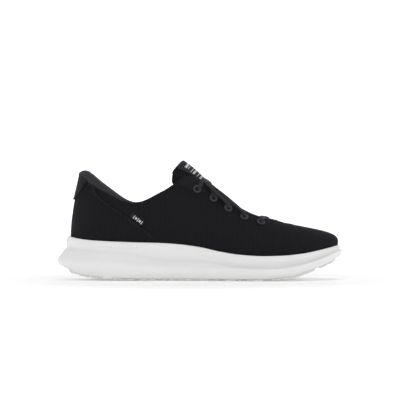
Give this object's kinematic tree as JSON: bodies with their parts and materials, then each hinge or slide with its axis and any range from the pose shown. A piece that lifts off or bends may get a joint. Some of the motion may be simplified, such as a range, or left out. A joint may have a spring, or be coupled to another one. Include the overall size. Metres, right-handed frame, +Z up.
{
  "type": "low-cut lace-up sports shoe",
  "caption": "Low-cut knit lace-up sports shoe for the right foot, with a thick sculpted foam sole, flat rubber tread pads and a padded heel that folds down for entry.",
  "frame": {"origin": "on the ground, under the middle of the sole's plan outline", "axes": "+X towards the toe, +Y towards the inner side of the foot, +Z up"},
  "size_m": [0.2974, 0.108, 0.125],
  "materials": {
    "midsole_foam": "moulded EVA foam, matte",
    "outsole_rubber": "moulded rubber, matte",
    "board": "non-woven board",
    "insole_cloth": "brushed cloth over foam",
    "knit": "two-layer engineered mesh knit",
    "smooth_cloth": "smooth brushed microfibre",
    "stiffener": "moulded TPU sheet",
    "eyelet_ring": "dark blue-grey anodised ring",
    "lace_cloth": "flat woven lace",
    "label_cloth": "woven label"
  },
  "bodies": {
    "root": {"midsole": "midsole_foam", "outsole_pad_1": "outsole_rubber", "outsole_pad_2": "outsole_rubber", "outsole_pad_3": "outsole_rubber", "outsole_pad_4": "outsole_rubber", "outsole_pad_5": "outsole_rubber", "outsole_pad_6": "outsole_rubber", "strobel_board": "board", "insole": "insole_cloth", "knit_upper": "knit", "heel_panel": "knit", "heel_counter": "stiffener", "toe_puff": "stiffener", "eyestay": "smooth_cloth", "eyelet_outer_1": "eyelet_ring", "eyelet_outer_2": "eyelet_ring", "eyelet_outer_3": "eyelet_ring", "eyelet_outer_4": "eyelet_ring", "eyelet_outer_5": "eyelet_ring", "eyelet_inner_1": "eyelet_ring", "eyelet_inner_2": "eyelet_ring", "eyelet_inner_3": "eyelet_ring", "eyelet_inner_4": "eyelet_ring", "eyelet_inner_5": "eyelet_ring", "side_tag": "label_cloth", "tongue_base": "knit", "lace": "lace_cloth"},
    "heel_collar": {"collar_band": "smooth_cloth", "flex_arc": "stiffener"},
    "pull_tab": {"pull_tab": "smooth_cloth"},
    "tongue_free_end": {"tongue_top": "knit", "tongue_label": "label_cloth"}
  },
  "joints": [
    {"name": "heel_collapse", "type": "hinge", "parent": "root", "child": "heel_collar", "pos_m": [-0.068, 0, 0.08], "axis": [0, -1, 0], "range_deg": [0, 20], "stiffness_Nm_per_rad": 3, "deforming": ["heel_panel", "knit_upper"]},
    {"name": "pull_tab_lift", "type": "hinge", "parent": "heel_collar", "child": "pull_tab", "pos_m": [-0.1265, 0, 0.106], "axis": [0, 1, 0], "range_deg": [0, 50], "stiffness_Nm_per_rad": 0.02},
    {"name": "tongue_tilt", "type": "hinge", "parent": "root", "child": "tongue_free_end", "pos_m": [0.00206, 0, 0.10743], "axis": [0, 1, 0], "range_deg": [-8, 22], "stiffness_Nm_per_rad": 0.3}
  ]
}
